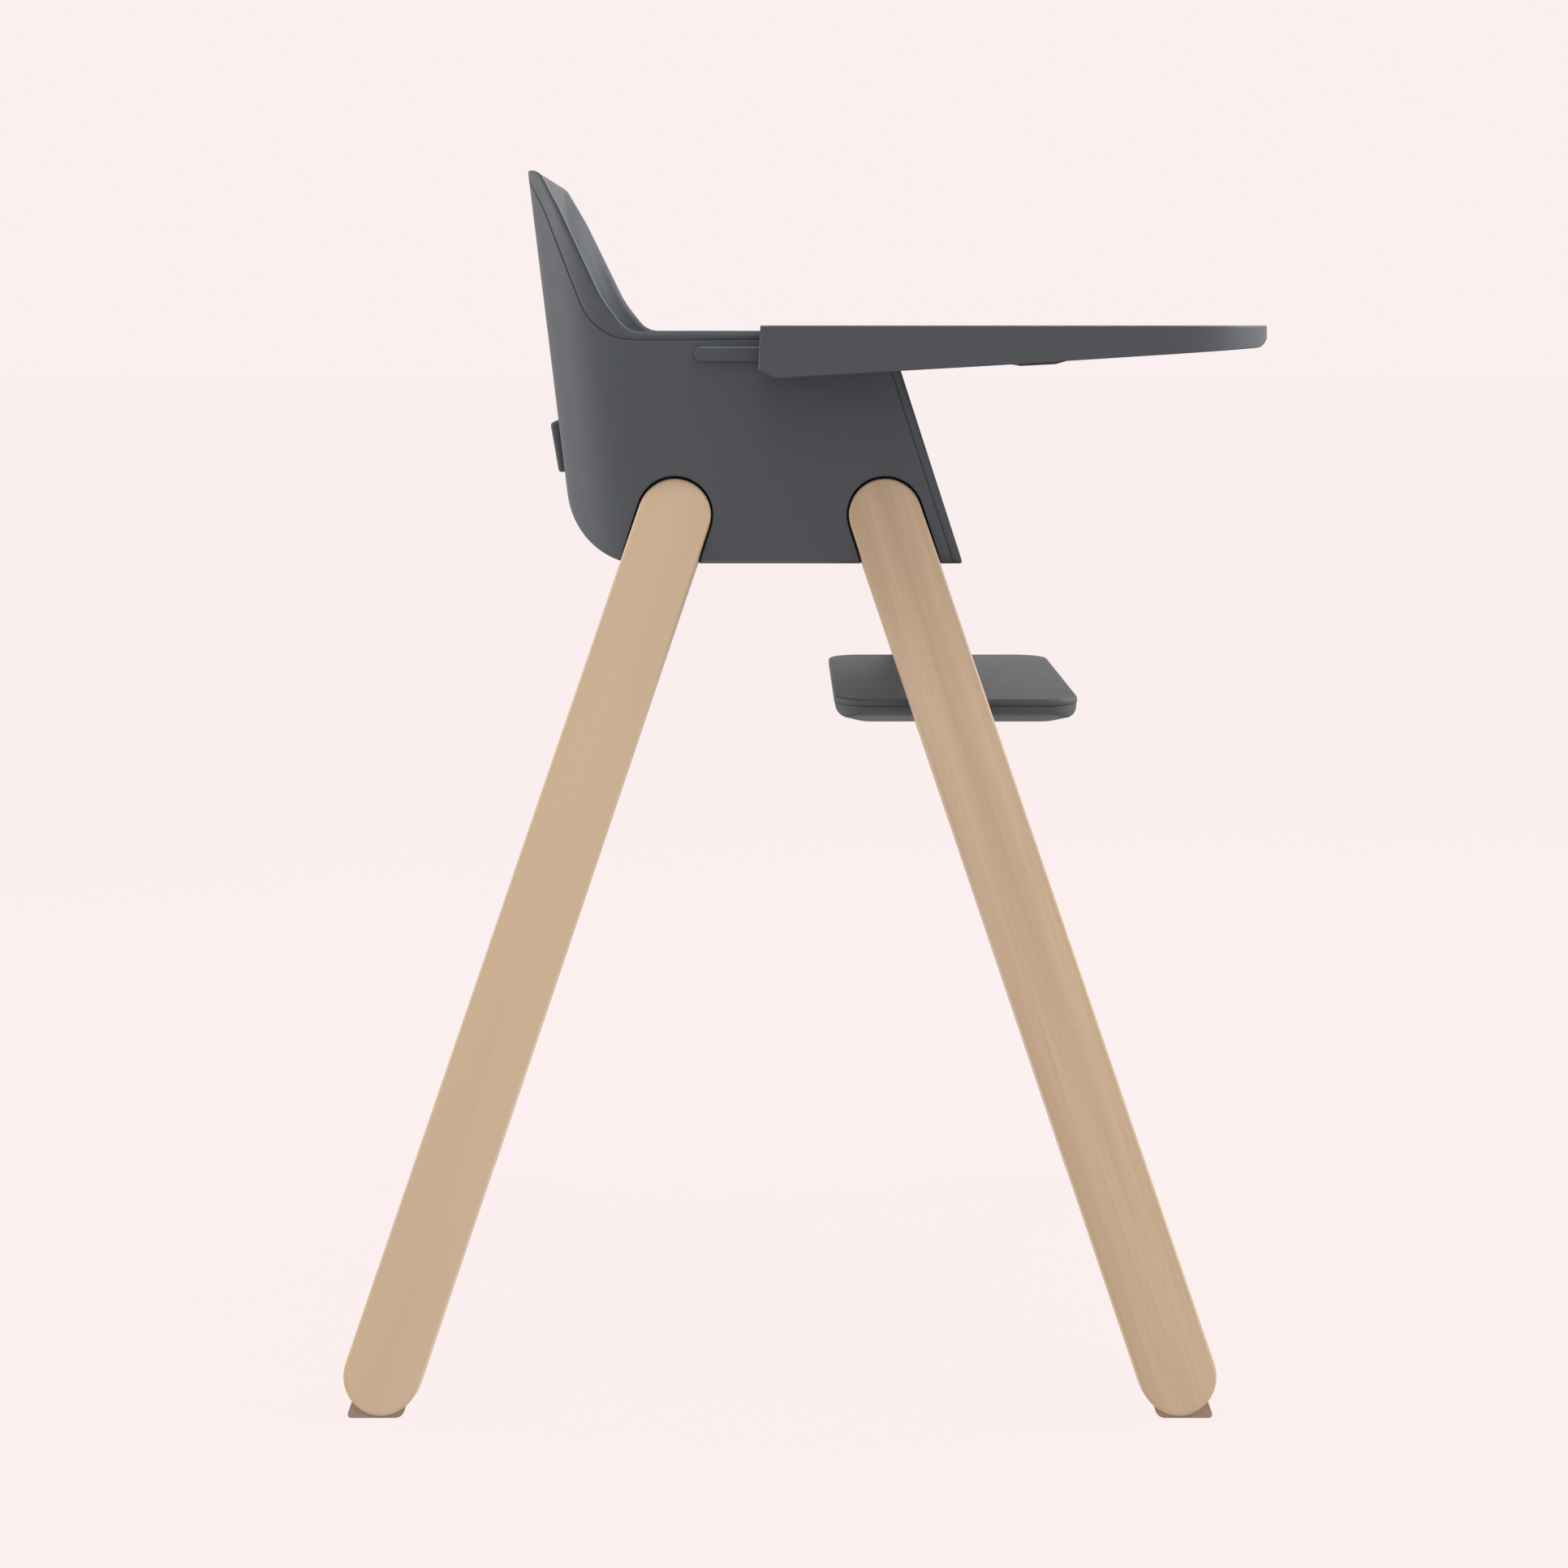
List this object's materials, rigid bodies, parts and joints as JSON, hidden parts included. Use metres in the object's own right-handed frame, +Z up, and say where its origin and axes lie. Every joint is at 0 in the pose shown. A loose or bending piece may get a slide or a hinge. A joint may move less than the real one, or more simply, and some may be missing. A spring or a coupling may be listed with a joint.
{
  "type": "baby high chair",
  "caption": "Baby high chair: moulded bucket seat on splayed wooden legs, sliding tray with lift-off cover, height-adjustable footrest and lap harness.",
  "frame": {"origin": "on the floor, below the middle of the overall length and on the mid-plane", "axes": "+X the child's forward direction, +Y the child's left, +Z up"},
  "size_m": [0.6934, 0.602, 0.915],
  "materials": {
    "seat_shell_plastic": "fine matte texture, slate grey",
    "seat_bucket_plastic": "satin, slate grey",
    "tray_plastic": "satin, slate grey",
    "footrest_plastic": "fine matte texture, slate grey",
    "beech": "clear matt lacquer",
    "foot_elastomer": "matte taupe",
    "steel": "zinc plated",
    "bracket_steel": "black powder coat",
    "webbing": "woven polyester webbing",
    "buckle_plastic": "fine satin",
    "button_plastic": "satin light grey"
  },
  "bodies": {
    "chair": {"seat_outer_shell": "seat_shell_plastic", "harness_plate": "seat_shell_plastic", "tray_rail_right": "seat_shell_plastic", "tray_rail_left": "seat_shell_plastic", "seat_bucket": "seat_bucket_plastic", "crotch_post": "seat_bucket_plastic", "leg_front_right": "beech", "leg_front_left": "beech", "leg_rear_right": "beech", "leg_rear_left": "beech", "foot_pad_front_right": "foot_elastomer", "foot_pad_front_left": "foot_elastomer", "foot_pad_rear_right": "foot_elastomer", "foot_pad_rear_left": "foot_elastomer", "leg_bolts": "steel", "leg_inserts": "steel", "foot_pins": "steel", "seat_screws": "steel", "post_screws": "steel", "harness_plate_screws": "steel", "crotch_strap_anchor": "steel", "leg_bracket_front": "bracket_steel", "leg_bracket_rear": "bracket_steel", "lap_strap_right": "webbing", "lap_strap_left": "webbing", "crotch_strap": "webbing", "buckle_housing": "buckle_plastic", "buckle_tongue_right": "buckle_plastic", "buckle_tongue_left": "buckle_plastic", "strap_adjuster_right": "buckle_plastic", "strap_adjuster_left": "buckle_plastic"},
    "tray": {"tray_base": "tray_plastic"},
    "tray_cover": {"tray_cover": "tray_plastic"},
    "release_paddle": {"tray_release_paddle": "tray_plastic", "release_link_right": "steel", "release_link_left": "steel"},
    "latch_right": {"tray_latch_right": "buckle_plastic"},
    "latch_left": {"tray_latch_left": "buckle_plastic"},
    "footrest": {"footrest_tread": "footrest_plastic", "footrest_hull": "footrest_plastic", "footrest_screws": "steel"},
    "footrest_carrier_right": {"footrest_carrier_right": "footrest_plastic", "footrest_bar_right": "steel"},
    "footrest_carrier_left": {"footrest_carrier_left": "footrest_plastic", "footrest_bar_left": "steel"},
    "buckle_button": {"buckle_button": "button_plastic"}
  },
  "joints": [
    {"name": "tray_slide", "type": "slide", "parent": "chair", "child": "tray", "axis": [1, 0, 0], "range_m": [-0.045, 0.1]},
    {"name": "tray_cover_lift", "type": "slide", "parent": "tray", "child": "tray_cover", "axis": [0, 0, 1], "range_m": [0, 0.06]},
    {"name": "tray_release", "type": "slide", "parent": "tray", "child": "release_paddle", "axis": [1, 0, 0], "range_m": [0, 0.008], "stiffness_N_per_m": 700, "springref_m": -0.006},
    {"name": "latch_right_slide", "type": "slide", "parent": "tray", "child": "latch_right", "axis": [0, -1, 0], "range_m": [0, 0.003]},
    {"name": "latch_left_slide", "type": "slide", "parent": "tray", "child": "latch_left", "axis": [0, 1, 0], "range_m": [0, 0.003]},
    {"name": "footrest_height", "type": "slide", "parent": "chair", "child": "footrest", "axis": [0.3197, 0, -0.9475], "range_m": [0, 0.09]},
    {"name": "carrier_right_spread", "type": "slide", "parent": "footrest", "child": "footrest_carrier_right", "axis": [0, -1, 0], "range_m": [0, 0.0167]},
    {"name": "carrier_left_spread", "type": "slide", "parent": "footrest", "child": "footrest_carrier_left", "axis": [0, 1, 0], "range_m": [0, 0.0167]},
    {"name": "buckle_button_press", "type": "slide", "parent": "chair", "child": "buckle_button", "axis": [0, 0, -1], "range_m": [0, 0.003], "stiffness_N_per_m": 1500, "springref_m": -0.003}
  ],
  "couplings": [
    {"joint": "latch_right_slide", "follows": "tray_release", "ratio": 0.375},
    {"joint": "latch_left_slide", "follows": "tray_release", "ratio": 0.375},
    {"joint": "carrier_right_spread", "follows": "footrest_height", "ratio": 0.18401},
    {"joint": "carrier_left_spread", "follows": "footrest_height", "ratio": 0.18401}
  ]
}
